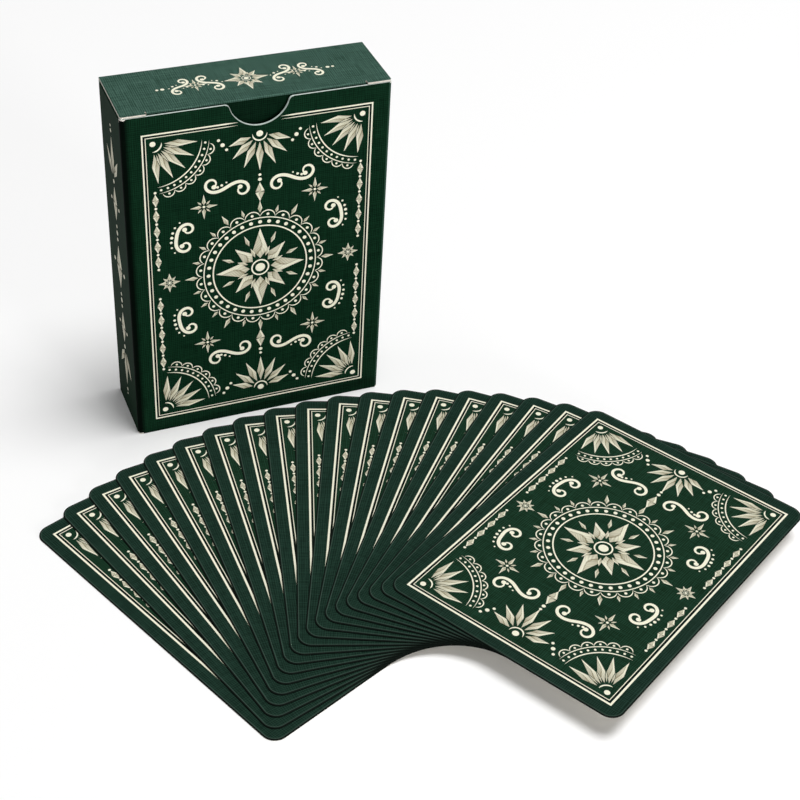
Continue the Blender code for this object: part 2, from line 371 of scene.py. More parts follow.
def card_edge():
    """The cut edge of a card that is dyed dark, with paler fibres."""
    finish = Finish("card_edge", IOR=PAPER_IOR, Specular_IOR_Level=0.03)
    u, v = finish.uv("panel")
    fibre = finish.noise(u / EDGE_FIBRE_MM, v / EDGE_FIBRE_MM)
    finish.set(Base_Color=finish.tint(fibre, colour("030504"), colour("0b110d")))
    finish.set(Roughness=0.6 + fibre * 0.2)
    return finish.material


def card_face():
    """The playing side: smooth ivory stock with the same linen weave."""
    finish = Finish("card_face", IOR=PAPER_IOR)
    u, v = finish.uv("panel")
    weave = linen(finish, u, v)
    finish.set(Base_Color=finish.tint(weave, colour("dfd9ca"), colour("efeadd")))
    finish.set(Roughness=0.42 + weave * 0.15, Normal=finish.bump(weave, STOCK_LIFT, 0.5))
    return finish.material


back_print = card_back()
edge_stock = card_edge()
face_stock = card_face()
print("card stock:", back_print.name, edge_stock.name, face_stock.name)

# %% [markdown]
# ## Bare board
#
# Where the case is cut, the pale core of the board shows as layers of paper, and its inside is not printed.
# One noise drawn out along the layers makes the core, and a shorter one makes loose fibres.

# %% Bare board
BARE_IOR = 1.45
BARE_DEEP = "c9c3b6"
BARE_PALE = "e4dfd3"
STAIN_MM = 9.0
FIBRE_LIFT = 0.00003


def board_core(name, deep, pale):
    """The cut edge of the board: paper layers."""
    finish = Finish(name, IOR=BARE_IOR)
    u, v = finish.uv("panel")
    fibre = finish.noise(u / 0.7, v / 0.12)
    finish.set(Base_Color=finish.tint(fibre, colour(deep), colour(pale)))
    finish.set(Roughness=0.8 + fibre * 0.15)
    return finish.material


def board_inside():
    """The uncoated inside of the board: off-white, with short fibres."""
    finish = Finish("board_inside", IOR=BARE_IOR)
    u, v = finish.uv("panel")
    fibre = finish.noise(u / 0.8, v / 0.3)
    tone = fibre * 0.6 + finish.noise(u / STAIN_MM, v / STAIN_MM) * 0.4
    finish.set(Base_Color=finish.tint(tone, colour(BARE_DEEP), colour(BARE_PALE)))
    finish.set(Roughness=0.75 + fibre * 0.2, Normal=finish.bump(fibre, FIBRE_LIFT, 0.5))
    return finish.material


def bottom_board():
    """The panel and flaps underneath: linen green on the side that shows, bare fibre above it."""
    finish = Finish("bottom_board", IOR=PAPER_IOR, Specular_IOR_Level=0.04)
    x, y, z = finish.place()
    weave = linen(finish, x, y)
    green = finish.tint(weave.rise(0.32, 0.68), colour("051d10"), colour("123823"))
    fibre = finish.noise(x / 0.8, (y + z) / 0.3)
    bare = finish.tint(fibre, colour(BARE_DEEP), colour(BARE_PALE))
    finish.set(Base_Color=finish.tint(z.rise(0.1, 0.3), green, bare), Roughness=0.55 + weave * 0.16)
    return finish.material


core = board_core("board_core", "c4bbb0", "f1ece3")
wall_rim = board_core("wall_rim", "a9b8b0", "dde7e2")
inside = board_inside()
underside = bottom_board()
print("bare board:", core.name, wall_rim.name, inside.name, underside.name)

# %% [markdown]
# ## The ink
#
# The ornament is printed in one cream ink and looks engraved: each ray has a darker rib and foot, and fine
# hatching. Every shape carries a map of its own, across from 0 to 1 and along from 0 to 1, so one finish
# can shade them all. A line keeps a whole number as its mark along, 2 for plain cream and 3 for dark ink.

# %% Ink finish
SHADED = 0
PLAIN = 2
DARK = 3
HATCH_ALONG = 60.0
HATCH_ACROSS = 30.0


def cream_ink():
    """Cream ink, engraved: darker along a shape's rib, at its foot and on one half, with fine hatching."""
    finish = Finish("cream_ink", IOR=PAPER_IOR, Specular_IOR_Level=0.1)
    u, v = finish.uv("panel")
    across, along = finish.uv("stroke")
    weave = linen(finish, u, v)
    from_rib = abs(across - 0.5)
    rib = 1 - from_rib.rise(0.02, 0.10)
    foot = 1 - along.rise(0.0, 0.55)
    half = across.rise(0.45, 0.62) * 0.35
    hatch = (along * HATCH_ALONG + from_rib * HATCH_ACROSS).sine() * 0.5 + 0.5
    hatch = hatch * along.rise(0.0, 0.2) * 0.25
    line = along.rise(PLAIN - 0.6, PLAIN - 0.4)
    black = along.rise(DARK - 0.6, DARK - 0.4)
    shade = (rib * 0.55 + foot * 0.5 + half + hatch).least(1.0) * (1 - line)
    cream = finish.tint(weave, colour("ebe8cc"), colour("faf8e6"))
    engraved = finish.tint(shade, cream, colour("8c8468"))
    finish.set(Base_Color=finish.tint(black, engraved, colour("020a06")))
    finish.set(Roughness=0.42 + weave * 0.18, Normal=finish.bump(weave, STOCK_LIFT, 0.5))
    return finish.material


ink = cream_ink()
print("ink:", ink.name, "from", len(ink.node_tree.nodes), "nodes")

# %% [markdown]
# ## From arrays to a piece
#
# Every shape below ends as an array of points, a list of faces, a finish for each face, and one or two flat
# maps that the finishes read. One function turns these into an object and lets it ride on its CAD body.


# %% Piece maker
def add_piece(name, points, faces, finishes, which, maps, body=None, stands_for=None):
    """An object from points in metres, faces of point numbers, and maps with one pair for each point."""
    mesh = bpy.data.meshes.new(name)
    mesh.from_pydata(points.tolist(), [], faces)
    for finish in finishes:
        mesh.materials.append(finish)
    mesh.polygons.foreach_set("material_index", np.asarray(which, np.int32))
    corner = np.empty(len(mesh.loops), np.int32)
    mesh.loops.foreach_get("vertex_index", corner)
    for key, values in maps.items():
        layer = mesh.uv_layers.new(name=key)
        layer.data.foreach_set("uv", np.asarray(values, np.float32)[corner].ravel())
    mesh.validate()
    mesh.update()
    obj = bpy.data.objects.new(name, mesh)
    bpy.context.scene.collection.objects.link(obj)
    if body:
        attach(obj, body)
    if stands_for:
        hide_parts(stands_for)
    return obj


def point_values(obj, fold=0.0, edge=0.0):
    """Two numbers kept on each point of a piece of board, for its finish to read."""
    for name, numbers in (("fold", fold), ("edge", edge)):
        layer = obj.data.attributes.new(name, "FLOAT", "POINT")
        layer.data.foreach_set("value", np.full(len(obj.data.vertices), numbers, np.float32))


class Place:
    """A flat place in space: where its middle is, and which ways its u, v and height point."""

    def __init__(self, origin, u, v):
        self.origin = np.array(origin, float)
        self.u = np.array(u, float)
        self.v = np.array(v, float)
        self.up = np.cross(self.u, self.v)

    def put(self, flat):
        """Points in metres of (u, v, height) rows in millimetres."""
        flat = np.asarray(flat, float)
        axes = np.stack([self.u, self.v, self.up])
        return self.origin + flat @ axes * MM


level = Place((0, 0, 0), (1, 0, 0), (0, 1, 0))
print("5 mm up on a level place, in metres:", level.put([0, 0, 5]))

# %% [markdown]
# ## Lines that keep their width
#
# A board bent round a corner, and a line of ink as well, keeps its width only when its corners are mitred.
# Where two runs meet, the step sideways is the sum of their normals over 1 plus the normals' product.


# %% Paths
def side_steps(path, closed=False):
    """At each point of a path, the mitred step to its left."""
    ring = np.vstack([path[-1:], path, path[:1]]) if closed else path
    run = np.diff(ring, axis=0)
    length = np.linalg.norm(run, axis=1, keepdims=True)
    normal = np.stack([-run[:, 1], run[:, 0]], axis=1) / np.where(length > 0, length, 1)
    if not closed:
        normal = np.vstack([normal[:1], normal, normal[-1:]])
    first, second = normal[:-1], normal[1:]
    return (first + second) / (1 + np.sum(first * second, axis=1, keepdims=True))


def arc(centre, radius, start, end, steps):
    """Points on a round stretch, from one angle in degrees to another."""
    angle = np.radians(np.linspace(start, end, steps + 1))
    return np.array(centre) + radius * np.stack([np.cos(angle), np.sin(angle)], axis=1)


def no_repeats(points, quads):
    """Welds points that coincide: the first of each, the faces that keep an area, and their numbers."""
    _, first, number = np.unique(np.round(points, 6), axis=0, return_index=True, return_inverse=True)
    quads = number.reshape(-1)[quads]
    faces = []
    kept = []
    for index, quad in enumerate(quads.tolist()):
        face = [corner for place, corner in enumerate(quad) if corner != quad[place - 1]]
        if len(set(face)) >= 3 and len(set(face)) == len(face):
            faces.append(face)
            kept.append(index)
    return first, faces, np.array(kept)


print("side step of a right-angled corner:", side_steps(np.array([[0, 0], [1, 0], [1, 1.0]]))[1])

# %% [markdown]
# ## The case walls: one strip of board folded round four corners
#
# The real case starts as one flat sheet, folded at four creases and glued along a flap. So the walls are a
# profile, the strip seen from above, carried upwards. The height is a function along the strip: lower over
# the sides, where the flaps fold in, and dipping in a half-moon at the front, for a thumb. The outside is
# printed, the inside is bare, and the cut edge shows the pale core.

# %% The notch
wall_high = np.array(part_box("case_sleeve")[1]) / MM
WALL_TOP = wall_high[2]
NOTCH_HALF = 7.5
NOTCH_DEPTH = 6.4
NOTCH_SHOULDER = 1.2


def notch_height(x):
    """Height of the front's edge over x: a round dip, with rounded shoulders, and flat beyond them."""
    radius = (NOTCH_HALF**2 + NOTCH_DEPTH**2) / (2 * NOTCH_DEPTH)
    rise = radius - NOTCH_DEPTH
    spread = math.sqrt((radius + NOTCH_SHOULDER) ** 2 - (rise + NOTCH_SHOULDER) ** 2)
    turn = spread * radius / (radius + NOTCH_SHOULDER)
    far = np.abs(x)
    dip = rise - np.sqrt(np.clip(radius**2 - far**2, 0, None))
    shoulder = np.sqrt(np.clip(NOTCH_SHOULDER**2 - (far - spread) ** 2, 0, None)) - NOTCH_SHOULDER
    return WALL_TOP + np.where(far < turn, dip, np.where(far < spread, shoulder, 0.0)), spread


print("notch, mm wide:", round(2 * notch_height(np.zeros(1))[1], 2))

# %% Wall path
OUTER_X = wall_high[0]
OUTER_Y = wall_high[1]
BOARD = 0.45
FOLD_RADIUS = 0.9
FOLD_STEPS = 8
FOLD_SHADE = 1.2
FRONT_STRETCH = 3
NO_NOTCH = 1000.0
SIDE_SHADE = 0.3
SIDE_TOP = 92.4
SEAM_GAP = 0.1
SEAM_INSET = 0.15
GLUE_FLAP = 12.0
NOTCH_POINTS = 61


def wall_path():
    """The outer face from above: right side, front, left side, back, glue flap; then heights and marks.

    The fold mark is 0 on a flat panel, 1 over a fold painted with shade and -1 on the crest of a fold painted
    with a highlight. The last mark turns a depth below the top edge into a distance from the notch: the cosine
    of the slope there.
    """
    x, y, r = OUTER_X, OUTER_Y, FOLD_RADIUS
    seam = x - BOARD - SEAM_GAP
    flat = y - r
    spread = notch_height(np.zeros(1))[1]
    dip = spread * np.cos(np.linspace(0, math.pi, NOTCH_POINTS))
    across = np.concatenate([[x - r - FOLD_SHADE], dip, [r - x + FOLD_SHADE]])
    front = np.stack([across, np.full(len(across), -y)], axis=1)
    front_top = notch_height(across)[0]
    steep = np.where(front_top < WALL_TOP, 1 / np.hypot(1, np.gradient(front_top, across)), NO_NOTCH)
    # The left folds, marked 1, get painted shade. The right folds, marked with a negative sine, get a painted
    # highlight on their crest. FOLD_SHADE and SIDE_SHADE are how far the painted shade runs onto the front, back
    # and sides.
    painted_crest_highlight = -np.sin(np.linspace(0, math.pi, FOLD_STEPS + 1))
    left = np.array([[-x, -flat], [-x, SIDE_SHADE - flat], [-x, flat - SIDE_SHADE], [-x, flat]])
    stretches = [
        (np.array([[x, y - SEAM_INSET], [x, flat]]), WALL_TOP, 0),
        (np.array([[x, flat], [x, SIDE_SHADE - flat], [x, -flat]]), SIDE_TOP, 0),
        (arc((x - r, r - y), r, 0, -90, FOLD_STEPS), WALL_TOP, painted_crest_highlight),
        (front, front_top, 0),
        (arc((r - x, r - y), r, 270, 180, FOLD_STEPS), WALL_TOP, 1),
        (left, SIDE_TOP, 0),
        (arc((r - x, y - r), r, 180, 90, FOLD_STEPS), WALL_TOP, 1),
        (np.array([[r + FOLD_SHADE - x, y], [seam - r - FOLD_SHADE, y]]), WALL_TOP, 0),
        (arc((seam - r, y - r), r, 90, 0, FOLD_STEPS), WALL_TOP, painted_crest_highlight),
        (np.array([[seam, flat], [seam, y - GLUE_FLAP]]), SIDE_TOP, 0),
    ]
    path = np.vstack([points for points, _, _ in stretches])
    top = np.concatenate([np.broadcast_to(height, len(points)) for points, height, _ in stretches])
    fold = np.concatenate([np.broadcast_to(mark, len(points)) for points, _, mark in stretches])
    notch = np.full(len(path), NO_NOTCH)
    start = sum(len(points) for points, _, _ in stretches[:FRONT_STRETCH])
    notch[start : start + len(front)] = steep
    return path, top, fold, notch


print("wall path, points:", len(wall_path()[0]))


# %% Case walls
def bent_board(path, low, high, thickness, shelf=None):
    """A sheet bent along a path, its outside to the left, from low to high, with a row at the shelf.

    Rows come as path x, path y, height. Faces are marked 0 outside, 1 inside and 2 on the cut edge.
    """
    # Doubled path points would have no direction, so the side step is worked out on the path without them.
    _, keep = np.unique(np.round(path, 5), axis=0, return_index=True)
    keep = np.sort(keep)
    at = np.maximum(np.searchsorted(keep, np.arange(len(path)), side="right") - 1, 0)
    step = side_steps(path[keep])[at]
    low = np.broadcast_to(low, len(path))
    high = np.broadcast_to(high, len(path))
    middle = np.minimum(high, high.min() if shelf is None else shelf)
    rows = np.stack([low, middle, high])
    skins = []
    for skin in (path, path - step * thickness):
        flat = np.broadcast_to(skin, (3, *skin.shape))
        skins.append(np.concatenate([flat, rows[..., None]], axis=2))
    points = np.stack(skins).reshape(-1, 3)
    count = len(path)
    number = np.arange(2 * 3 * count).reshape(2, 3, count)
    outer, inner = number
    here = slice(0, -1)
    there = slice(1, None)
    groups = [
        (np.stack([outer[:-1, there], outer[:-1, here], outer[1:, here], outer[1:, there]], -1), 0),
        (np.stack([inner[:-1, here], inner[:-1, there], inner[1:, there], inner[1:, here]], -1), 1),
        (np.stack([outer[2, here], inner[2, here], inner[2, there], outer[2, there]], -1), 2),
        (np.stack([outer[0, there], inner[0, there], inner[0, here], outer[0, here]], -1), 2),
        (np.stack([outer[:-1, 0], inner[:-1, 0], inner[1:, 0], outer[1:, 0]], -1), 2),
        (np.stack([inner[:-1, -1], outer[:-1, -1], outer[1:, -1], inner[1:, -1]], -1), 2),
    ]
    quads = np.concatenate([quad.reshape(-1, 4) for quad, _ in groups])
    which = np.concatenate([np.full(quad.size // 4, mark) for quad, mark in groups])
    run = np.concatenate([[0], np.cumsum(np.linalg.norm(np.diff(path, axis=0), axis=1))])
    along = np.tile(run, 6)
    first, faces, kept = no_repeats(points, quads)
    return points[first], faces, which[kept], along[first], first % count


def add_walls():
    """The folded strip as one piece, with its fold marks and a mark that is 1 at the rim of the notch."""
    path, top, fold, notch = wall_path()
    points, faces, which, along, column = bent_board(path, 0.0, top, BOARD, SIDE_TOP)
    flat = np.stack([along, points[:, 2]], axis=1)
    obj = add_piece(
        "case_walls", points * MM, faces, [case_print, inside, wall_rim], which, {"panel": flat},
        "case", "case_sleeve",
    )
    point_values(obj, fold=fold[column], edge=1 - (top[column] - points[:, 2]) * notch[column])
    return obj


walls = add_walls()
print("case walls, faces:", len(walls.data.polygons))

# %% [markdown]
# ## Lid, tab and flaps: flat sheets
#
# Each panel is an outline cut from the board, printed above, bare below, and pale at the cut edge. It could
# be drawn by hand point by point. Here an outline lists only its corners with their radii, and each round
# stretch is worked out. A radius of 0 leaves a corner sharp.

# %% Lid, tab and flaps
lid_low, lid_high = (np.array(corner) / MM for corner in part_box("lid_panel"))
LID_TOP = lid_high[2]
LID_X = lid_high[0]
LID_FRONT = lid_low[1]
LID_BACK = OUTER_Y - BOARD
EAR_X = 27.3
EAR_ROUND = 0.6
TAB_FOLD_Y = -9.2
TAB_FOLD_Z = LID_TOP - BOARD
TAB_HALF = 27.0
TAB_LENGTH = 14.0
TAB_ROUND = 5.0
TAB_LEAN = 5.0
FLAP_FRONT = -7.05
FLAP_BACK = 8.8
FLAP_ROOT = 32.5
FLAP_TIP = 17.5
FLAP_Z = 93.0
FLAP_BACK_TAPER = 4.5
FLAP_FRONT_TAPER = 3.0
FLAP_ROUND = 2.5
SIDES = ((-1, "left"), (1, "right"))


def rounded(corners, steps=8):
    """An outline whose corners are (x, y, radius): each is a round stretch that touches both sides."""
    spots = np.array(corners, float)
    at = spots[:, :2]
    to_last = np.roll(at, 1, axis=0) - at
    to_next = np.roll(at, -1, axis=0) - at
    points = []
    for spot, back, ahead, radius in zip(at, to_last, to_next, spots[:, 2]):
        back = back / np.linalg.norm(back)
        ahead = ahead / np.linalg.norm(ahead)
        half = 0.5 * math.acos(np.clip(back @ ahead, -1, 1))
        middle = (back + ahead) / np.linalg.norm(back + ahead)
        centre = spot + middle * radius / math.sin(half)
        start = math.degrees(math.atan2(*(spot + back * radius / math.tan(half) - centre)[::-1]))
        end = math.degrees(math.atan2(*(spot + ahead * radius / math.tan(half) - centre)[::-1]))
        sweep = (end - start + 180) % 360 - 180
        points.append(arc(centre, radius, start, start + sweep, steps) if radius else spot[None])
    return np.vstack(points)


def flat_board(outline, low, high):
    """A sheet cut to an outline: (u, v, height) points, faces marked 0 above, 1 below, 2 at the edge."""
    count = len(outline)
    points = np.vstack([np.column_stack([outline, np.full(count, height)]) for height in (low, high)])
    here = np.arange(count)
    there = np.roll(here, -1)
    rim = np.stack([here, there, there + count, here + count], axis=1)
    faces = [list(range(count, 2 * count)), list(range(count - 1, -1, -1)), *rim.tolist()]
    return points, faces, [0, 1] + [2] * count


def add_panel(name, outline, low, place, printed, body, node):
    """A panel of board on a place, from the height low upwards."""
    points, faces, which = flat_board(outline, low, low + BOARD)
    maps = {"panel": points[:, :2]}
    obj = add_piece(name, place.put(points), faces, [printed, inside, core], which, maps, body, node)
    point_values(obj)


lid_outline = rounded([
    (LID_X, LID_BACK, 0), (-LID_X, LID_BACK, 0), (-LID_X, LID_FRONT, EAR_ROUND), (-EAR_X, LID_FRONT, 0),
    (-EAR_X, TAB_FOLD_Y, 0), (EAR_X, TAB_FOLD_Y, 0), (EAR_X, LID_FRONT, 0), (LID_X, LID_FRONT, EAR_ROUND),
])
add_panel("lid", lid_outline, TAB_FOLD_Z, level, lid_print, "lid", "lid_panel")
lean = math.radians(TAB_LEAN)
tab_up = (0, -math.sin(lean), math.cos(lean))
tab_place = Place((0, TAB_FOLD_Y * MM, TAB_FOLD_Z * MM), (1, 0, 0), tab_up)
tab_outline = rounded([
    (TAB_HALF, 0, 0), (-TAB_HALF, 0, 0),
    (-TAB_HALF, -TAB_LENGTH, TAB_ROUND), (TAB_HALF, -TAB_LENGTH, TAB_ROUND),
])
add_panel("tab", tab_outline, 0.0, tab_place, tab_print, "tuck_tab", "tuck_tab")
for side, name in SIDES:
    flap = [
        (side * FLAP_ROOT, FLAP_FRONT, 0), (side * FLAP_ROOT, FLAP_BACK, 0),
        (side * FLAP_TIP, FLAP_BACK - FLAP_BACK_TAPER, FLAP_ROUND),
        (side * FLAP_TIP, FLAP_FRONT + FLAP_FRONT_TAPER, FLAP_ROUND),
    ]
    outline = rounded(flap if side > 0 else flap[::-1])
    body = f"dust_flap_{name}"
    add_panel(f"flap_{name}", outline, FLAP_Z, level, case_print, body, body)
print("outlines, points: lid", len(lid_outline), "tab", len(tab_outline), "flap", len(outline))

# %% [markdown]
# ## Creases
#
# A crease is the same board bent round a small radius, where one panel meets the next. Here it is one fixed piece
# that rides on no body. A plain hinge gap would let light through.

# %% Creases
CREASE_STEPS = 8
CREASE_EASE = 0.02
FLAP_BEND = 0.75
FLAP_CREASE_HALF = 9.3
YZ_TO_XYZ = [2, 0, 1]
ZX_TO_XYZ = [1, 2, 0]


def add_crease(name, path, half, turn, printed):
    """A crease: a path in a plane, drawn out by half to both sides, its axes then put in order by turn."""
    points, faces, which, along, _ = bent_board(path, -half, half, BOARD - CREASE_EASE)
    maps = {"panel": np.stack([along, points[:, 2]], axis=1)}
    placed = points[:, turn] * MM
    obj = add_piece(name, placed, faces, [printed, inside, core], which, maps)
    point_values(obj)
    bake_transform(obj)


lid_fold = np.vstack([
    [[LID_BACK - CREASE_EASE, LID_TOP]],
    arc((LID_BACK, TAB_FOLD_Z), BOARD, 90, 0, CREASE_STEPS),
    [[OUTER_Y, WALL_TOP]],
])
tab_fold = np.vstack([
    [[TAB_FOLD_Y + CREASE_EASE, LID_TOP]],
    arc((TAB_FOLD_Y, TAB_FOLD_Z), BOARD, 90, 180 + TAB_LEAN, CREASE_STEPS),
])
add_crease(
    "lid_crease", lid_fold, LID_X, YZ_TO_XYZ, lid_print,
)
add_crease(
    "tab_crease", tab_fold[::-1], TAB_HALF, YZ_TO_XYZ, lid_print,
)
for side, name in SIDES:
    top = FLAP_Z + BOARD
    bend = arc((top - FLAP_BEND, OUTER_X - FLAP_BEND), FLAP_BEND, 90, 0, CREASE_STEPS)
    path = np.vstack([[[SIDE_TOP, OUTER_X]], bend, [[top, FLAP_ROOT]]]) * np.array([1, side])
    path = path if side > 0 else path[::-1]
    add_crease(
        f"flap_crease_{name}", path, FLAP_CREASE_HALF, ZX_TO_XYZ, case_print,
    )

# %% [markdown]
# ## Fifty-two cards
#
# A card is a sheet 0.3 mm thick with round corners and, from the press that cuts it, softened edges. Its
# outline is carried through four rings: in by a hair below, straight up the cut edge, and in by a hair
# above. The nineteen in the fan are the same card, turned about one point a little below their near edges.
# So each gets a place of its own instead of a shape of its own.

# %% Cards
CARD_THICK = 0.3
CARD_SOFT = 0.06
CARD_ROUND_STEPS = 10
FAN_REACH = 19.9
FAN_FIRST_TURN = 23.1
FAN_STEP = -4.6
fan_pivot = next(np.array(joint["pos_m"]) for joint in frame["joints"] if joint["name"] == "fan_close")
fan_nodes = sorted(node for node in frame["nodes"] if node.startswith("fan_card"))
boxed_nodes = sorted(node for node in frame["nodes"] if node.startswith("boxed_card"))


def card_sheet():
    """The card in its own flat place: four rings of its outline, then the two faces."""
    x, y, r = CARD_HALF_X, CARD_HALF_Y, CARD_ROUND
    outline = rounded([(x, -y, r), (x, y, r), (-x, y, r), (-x, -y, r)], CARD_ROUND_STEPS)
    inward = side_steps(outline, closed=True)
    levels = [(CARD_SOFT, 0), (0, CARD_SOFT), (0, CARD_THICK - CARD_SOFT), (CARD_SOFT, CARD_THICK)]
    count = len(outline)
    rings = [
        np.column_stack([outline + inward * inset, np.full(count, height)]) for inset, height in levels
    ]
    here = np.arange(count)
    there = np.roll(here, -1)
    band = np.stack([here, there, there + count, here + count], axis=1)
    bands = np.concatenate([band + count * ring for ring in range(3)])
    top = list(range(3 * count, 4 * count))
    bottom = list(range(count - 1, -1, -1))
    which = np.concatenate([[0, 2], np.repeat([2, 1, 0], count)])
    return np.vstack(rings), [top, bottom, *bands.tolist()], which


def fan_place(number):
    """The place of a card in the fan, counted from 0: turned about the pivot, on the cards before it."""
    turn = math.radians(FAN_FIRST_TURN + FAN_STEP * number)
    u = np.array([math.cos(turn), math.sin(turn), 0])
    v = np.array([-math.sin(turn), math.cos(turn), 0])
    origin = fan_pivot + v * (FAN_REACH + CARD_HALF_Y) * MM
    origin[2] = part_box(fan_nodes[number])[0].z
    return Place(origin, u, v)


def boxed_place(number):
    """The place of a card in the case, counted from 0 at the back: upright, its back to the front."""
    low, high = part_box(boxed_nodes[number])
    return Place((0, high.y, (low.z + high.z) / 2), (1, 0, 0), (0, 0, 1))


def body_with(node):
    """The CAD body that carries a node."""
    return next(body for body, nodes in frame["record"]["behaviour"]["bodies"].items() if node in nodes)


card_points, card_faces, card_which = card_sheet()
places = {node: fan_place(number) for number, node in enumerate(fan_nodes)}
places.update({node: boxed_place(number) for number, node in enumerate(boxed_nodes)})
for node, place in places.items():
    add_piece(
        node.replace("fan_", "fanned_").replace("boxed_", "cased_"),
        place.put(card_points), card_faces, [back_print, edge_stock, face_stock], card_which,
        {"panel": card_points[:, :2]}, body_with(node), node,
    )
print("cards:", len(places))

# %% [markdown]
# ## The ornament: one kind of line, many shapes
#
# The print is ink on the surface, so it is made as ink: a low ridge two hundredths of a millimetre high.
# A ridge follows a middle line, and its half width changes along it. A constant width gives a frame line,
# a width that swells and closes gives a ray, and a round one gives a bead. So one function draws it all.

# %% Ink
INK_HEIGHT = 0.02
INK_SINK = 0.01
INK_SOFT = 0.85
INK_SLIM = 0.08
LAYERS = 9
LAYER_SHARE = 0.05


def stroke(mid, half, closed, kind):
    """A ridge of ink: a flat-topped section from -1 to 1, carried along mid, times the half width there.

    A shaded ridge is marked from 0 to 1 along its length, any other with the number of its kind.
    """
    half = np.broadcast_to(np.asarray(half, float), len(mid))
    step = side_steps(mid, closed)
    across = np.array([-1, -INK_SOFT, INK_SOFT, 1])
    level = np.array([-INK_SINK, INK_HEIGHT, INK_HEIGHT, -INK_SINK])
    slim = np.clip(half / INK_SLIM, 0, 1)
    flat = mid[:, None, :] + (step * half[:, None])[:, None, :] * across[None, :, None]
    height = level[None, :] * slim[:, None]
    points = np.concatenate([flat, height[..., None]], axis=2).reshape(-1, 3)
    along = np.linspace(0, 1, len(mid)) if kind == SHADED else np.full(len(mid), float(kind))
    marks = np.stack([np.tile((across + 1) / 2, len(mid)), np.repeat(along, 4)], axis=1)
    number = np.arange(len(points)).reshape(-1, 4)
    ahead = np.roll(number, -1, axis=0) if closed else number[1:]
    back = number if closed else number[:-1]
    turn = [1, 2, 3, 0]
    quads = np.stack([back, ahead, ahead[:, turn], back[:, turn]], axis=-1).reshape(-1, 4)
    if not closed:
        quads = np.vstack([quads, number[:1, ::-1], number[-1:]])
    return points, quads, marks


def design(shapes):
    """All the ridges of a print in one set, their heights a hair apart so that crossings stay clean."""
    points, quads, marks = [], [], []
    count = 0
    for number, (mid, half, closed, kind) in enumerate(shapes):
        more, faces, mark = stroke(np.asarray(mid, float), half, closed, kind)
        more[:, 2] *= 1 + LAYER_SHARE * (number % LAYERS)
        points.append(more)
        quads.append(faces + count)
        marks.append(mark)
        count += len(more)
    points, quads, marks = np.vstack(points), np.vstack(quads), np.vstack(marks)
    first, faces, _ = no_repeats(points, quads)
    return points[first], faces, marks[first]


def add_print(name, drawn, place, lift, body):
    """A print laid on a place, its ground lifted to the surface there."""
    points, faces, marks = drawn
    raised = points + np.array([0, 0, lift])
    maps = {"panel": points[:, :2], "stroke": marks}
    return add_piece(name, place.put(raised), faces, [ink], np.zeros(len(faces)), maps, body)


print("points across a ridge:", len(stroke(np.eye(2), 1.0, False, PLAIN)[0]) // 2)


# %% Dots, rings and bows
def bead(at, radius, steps=8):
    """A dot: its half width is the half chord of a circle."""
    turn = np.linspace(0, math.pi, steps + 1)
    mid = np.array(at) + radius * np.stack([-np.cos(turn), np.zeros(steps + 1)], axis=1)
    half = radius * np.sin(turn)
    half[[0, -1]] = 0
    return mid, half, False, PLAIN


def ring(at, radius, width, steps=48):
    """A closed line at one distance from a point."""
    return arc(at, radius, 0, 360, steps)[:-1], width / 2, True, PLAIN


def bow(at, radius, start, end, width, steps=24):
    """Part of a ring that runs out to a point at both ends."""
    share = np.linspace(0, 1, steps + 1)
    half = width / 2 * np.clip(4 * np.minimum(share, 1 - share), 0, 1) ** 0.7
    return arc(at, radius, start, end, steps), half, False, PLAIN


def beads_on(at, radius, start, end, count, size):
    """Dots at equal angles on part of a circle."""
    return [bead(spot, size) for spot in arc(at, radius, start, end, count - 1)]


def mirrored(shapes, across_x=True, across_y=True):
    """The shapes and their mirror images, left to right and top to bottom."""
    ways = [(x, y) for x in ((1, -1) if across_x else (1,)) for y in ((1, -1) if across_y else (1,))]
    return [(mid * np.array(way), *rest) for way in ways for mid, *rest in shapes]


print("points of a ring's middle line:", len(ring((0, 0), 1.0, 0.1)[0]))

# %% [markdown]
# ## The card back and the case panels
#
# The ornament is put together from stock motifs of any pattern book: compass stars, suns, pearls, lozenges
# and scrolls. A panel looks the same either way up, so most of it is drawn as a quarter and mirrored twice.
# Double frame lines run round it, and on the front of the case they taper out on both sides of the notch.

# %% Rays and stars
STAR_POINTS = 8


def ray(at, angle, length, width, waist=0.28):
    """A compass ray: two straight sides that widen up to the waist and run out to a point."""
    share = np.array([0, waist, 0.5 * (1 + waist), 1])
    way = np.array([math.cos(math.radians(angle)), math.sin(math.radians(angle))])
    mid = np.array(at) + share[:, None] * length * way
    half = width / 2 * np.minimum(share / waist, (1 - share) / (1 - waist))
    return mid, half, False, SHADED


def rays(at, inner, length, width, angles, waist=0.28):
    """Compass rays that start on a circle, one for each angle."""
    turns = np.radians(angles)
    feet = np.array(at) + inner * np.stack([np.cos(turns), np.sin(turns)], axis=1)
    return [ray(foot, angle, length, width, waist) for foot, angle in zip(feet, angles)]


def star(at, radius):
    """A compass star: long rays, shorter ones between them, and a ring and a pearl in the middle."""
    step = 360 / STAR_POINTS
    main = 90 + step * np.arange(STAR_POINTS)
    made = rays(at, 0.24 * radius, 0.76 * radius, 0.36 * radius, main[::2])
    made += rays(at, 0.24 * radius, 0.56 * radius, 0.29 * radius, main[1::2])
    made += rays(at, 0.30 * radius, 0.26 * radius, 0.09 * radius, main + step / 2, 0.4)
    made += [ring(at, 0.19 * radius, 0.035 * radius, 24), bead(at, 0.11 * radius, 12)]
    return made


